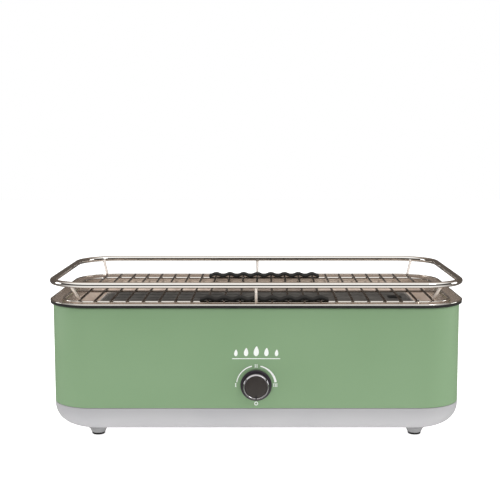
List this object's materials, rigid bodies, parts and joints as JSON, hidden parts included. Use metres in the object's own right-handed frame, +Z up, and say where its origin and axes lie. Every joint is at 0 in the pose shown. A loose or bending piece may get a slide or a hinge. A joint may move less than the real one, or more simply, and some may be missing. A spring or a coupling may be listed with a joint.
{
  "type": "table-top charcoal grill with fan",
  "caption": "Rounded rectangular table-top charcoal grill: painted casing, stainless bowl, lift-off wire grate with raised rail, basket with cover, fan with front dial.",
  "frame": {"origin": "on the table, under the middle of the bounding box, between the four soles", "axes": "+X along the grill's length to the user's right, +Y towards the back, away from the control knob, +Z up"},
  "size_m": [0.46, 0.2526, 0.1774],
  "materials": {
    "casing_paint": "satin powder coat",
    "tray_plastic": "fine satin",
    "rubber": "matt",
    "stainless": "polished",
    "chrome_wire": "bright",
    "grip_silicone": "satin",
    "dark_enamel": "matt enamel",
    "coated_steel": "mill finish",
    "zinc_steel": "zinc plated",
    "dark_plastic": "fine satin",
    "battery_jacket": "gloss",
    "board": "solder mask",
    "lead_insulation": "smooth"
  },
  "bodies": {
    "base": {"casing": "casing_paint", "base_tray": "tray_plastic", "foot_front_left": "tray_plastic", "foot_front_right": "tray_plastic", "foot_rear_left": "tray_plastic", "foot_rear_right": "tray_plastic", "sole_front_left": "rubber", "sole_front_right": "rubber", "sole_rear_left": "rubber", "sole_rear_right": "rubber", "rim_gasket": "rubber", "air_duct": "coated_steel", "heat_shield": "coated_steel", "casing_screw_1": "zinc_steel", "casing_screw_2": "zinc_steel", "casing_screw_3": "zinc_steel", "casing_screw_4": "zinc_steel", "shield_screw_1": "zinc_steel", "shield_screw_2": "zinc_steel", "shield_screw_3": "zinc_steel", "shield_screw_4": "zinc_steel", "fan_screw_1": "zinc_steel", "fan_screw_2": "zinc_steel", "fan_screw_3": "zinc_steel", "fan_motor": "zinc_steel", "control_nut": "zinc_steel", "control_washer": "zinc_steel", "battery_contact_left": "zinc_steel", "battery_contact_right": "zinc_steel", "fan_housing": "dark_plastic", "motor_bracket": "dark_plastic", "battery_box": "dark_plastic", "speed_control": "dark_plastic", "battery_1": "battery_jacket", "battery_2": "battery_jacket", "battery_3": "battery_jacket", "battery_4": "battery_jacket", "control_board": "board", "lead_battery": "lead_insulation", "lead_motor": "lead_insulation", "lead_control": "lead_insulation"},
    "grate": {"grate_grid": "chrome_wire", "grate_rail": "chrome_wire", "grip_front": "grip_silicone", "grip_rear": "grip_silicone"},
    "cover": {"basket_cover": "dark_enamel"},
    "basket": {"charcoal_basket": "coated_steel", "basket_rim": "stainless"},
    "bowl": {"bowl": "stainless", "air_diffuser": "coated_steel"},
    "knob": {"knob_skirt": "dark_plastic", "knob_ring": "chrome_wire", "knob_cap": "dark_plastic", "control_shaft": "zinc_steel"},
    "fan": {"fan_impeller": "dark_plastic", "motor_shaft": "zinc_steel"},
    "door": {"battery_door": "tray_plastic"}
  },
  "joints": [
    {"name": "grate_lift", "type": "slide", "parent": "base", "child": "grate", "axis": [0, 0, 1], "range_m": [0, 0.25]},
    {"name": "cover_lift", "type": "slide", "parent": "base", "child": "cover", "axis": [0, 0, 1], "range_m": [0, 0.2]},
    {"name": "basket_lift", "type": "slide", "parent": "base", "child": "basket", "axis": [0, 0, 1], "range_m": [0, 0.14]},
    {"name": "bowl_lift", "type": "slide", "parent": "base", "child": "bowl", "axis": [0, 0, 1], "range_m": [0, 0.05]},
    {"name": "knob_turn", "type": "hinge", "parent": "base", "child": "knob", "pos_m": [0, -0.1163, 0.0647], "axis": [0, 1, 0], "range_deg": [0, 270]},
    {"name": "fan_spin", "type": "hinge", "parent": "base", "child": "fan", "pos_m": [0, 0.0033, 0.035], "axis": [0, 0, 1], "continuous": true},
    {"name": "door_slide", "type": "slide", "parent": "base", "child": "door", "axis": [1, 0, 0], "range_m": [0, 0.066]}
  ],
  "couplings": [
    {"joint": "cover_lift", "follows": "grate_lift", "ratio": 0.8},
    {"joint": "basket_lift", "follows": "grate_lift", "ratio": 0.56},
    {"joint": "bowl_lift", "follows": "grate_lift", "ratio": 0.2}
  ]
}
